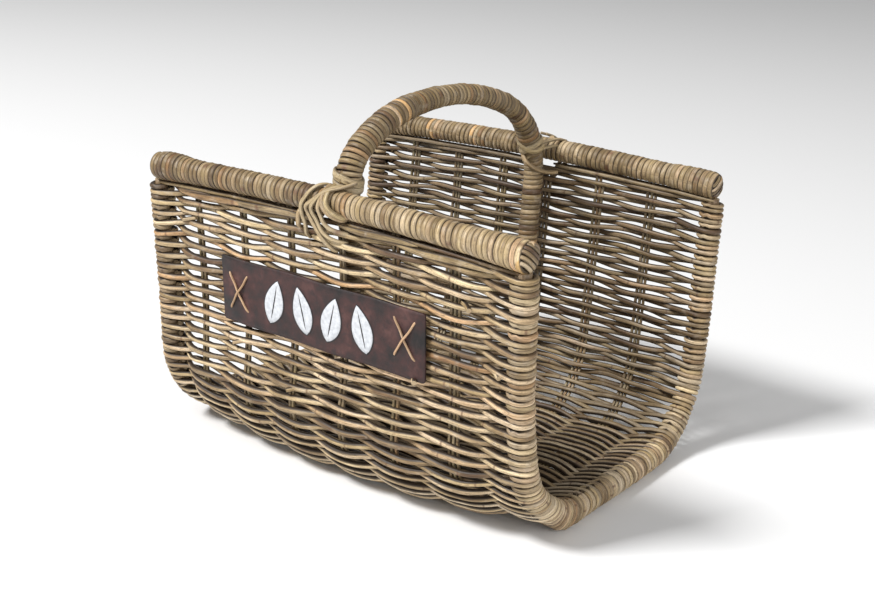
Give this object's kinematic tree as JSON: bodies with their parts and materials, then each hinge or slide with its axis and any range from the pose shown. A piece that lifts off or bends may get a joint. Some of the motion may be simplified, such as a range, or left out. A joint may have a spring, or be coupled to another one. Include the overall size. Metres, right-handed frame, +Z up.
{
  "type": "log basket",
  "caption": "Open-ended wicker cradle basket for firewood with wrapped rims, an arched carrying handle and a stitched leather plate.",
  "frame": {"origin": "on the ground under the middle of the basket, midway between the two rims and the two open ends", "axes": "+X along the rims from the left open end to the right one, seen from the plate side; -Y the side with the leather plate; +Z up"},
  "size_m": [0.6116, 0.5036, 0.502],
  "materials": {
    "woven_cane": "weathered matte",
    "peeled_rod": "weathered matte",
    "wrapping_cane": "weathered satin",
    "lashing_cane": "satin",
    "leather": "waxed, mottled",
    "cord": "waxed cord"
  },
  "bodies": {
    "root": {"handle_collar_back": "lashing_cane", "handle_collar_front": "lashing_cane", "handle_pole": "peeled_rod", "handle_wrap_arch": "wrapping_cane", "handle_wrap_leg_back": "wrapping_cane", "handle_wrap_leg_front": "wrapping_cane", "hoop_left": "peeled_rod", "hoop_right": "peeled_rod", "lashing_back_falling": "lashing_cane", "lashing_back_rising": "lashing_cane", "lashing_front_falling": "lashing_cane", "lashing_front_rising": "lashing_cane", "plate": "leather", "rim_pole_back": "peeled_rod", "rim_pole_front": "peeled_rod", "rim_strip_back_left": "wrapping_cane", "rim_strip_back_right": "wrapping_cane", "rim_strip_front_left": "wrapping_cane", "rim_strip_front_right": "wrapping_cane", "rim_wrap_back_left": "wrapping_cane", "rim_wrap_back_right": "wrapping_cane", "rim_wrap_front_left": "wrapping_cane", "rim_wrap_front_right": "wrapping_cane", "stake_1a": "peeled_rod", "stake_1b": "peeled_rod", "stake_2a": "peeled_rod", "stake_2b": "peeled_rod", "stake_3a": "peeled_rod", "stake_3b": "peeled_rod", "stake_4a": "peeled_rod", "stake_4b": "peeled_rod", "stake_5a": "peeled_rod", "stake_5b": "peeled_rod", "stake_6a": "peeled_rod", "stake_6b": "peeled_rod", "stitch_left_falling": "cord", "stitch_left_rising": "cord", "stitch_right_falling": "cord", "stitch_right_rising": "cord", "weave_back_1": "woven_cane", "weave_back_2": "woven_cane", "weave_back_3": "woven_cane", "weave_back_4": "woven_cane", "weave_back_5": "woven_cane", "weave_back_corner_1": "woven_cane", "weave_back_corner_2": "woven_cane", "weave_back_corner_3": "woven_cane", "weave_floor_1": "woven_cane", "weave_floor_2": "woven_cane", "weave_floor_3": "woven_cane", "weave_floor_4": "woven_cane", "weave_front_1": "woven_cane", "weave_front_2": "woven_cane", "weave_front_3": "woven_cane", "weave_front_4": "woven_cane", "weave_front_5": "woven_cane", "weave_front_corner_1": "woven_cane", "weave_front_corner_2": "woven_cane", "weave_front_corner_3": "woven_cane"}
  },
  "joints": []
}
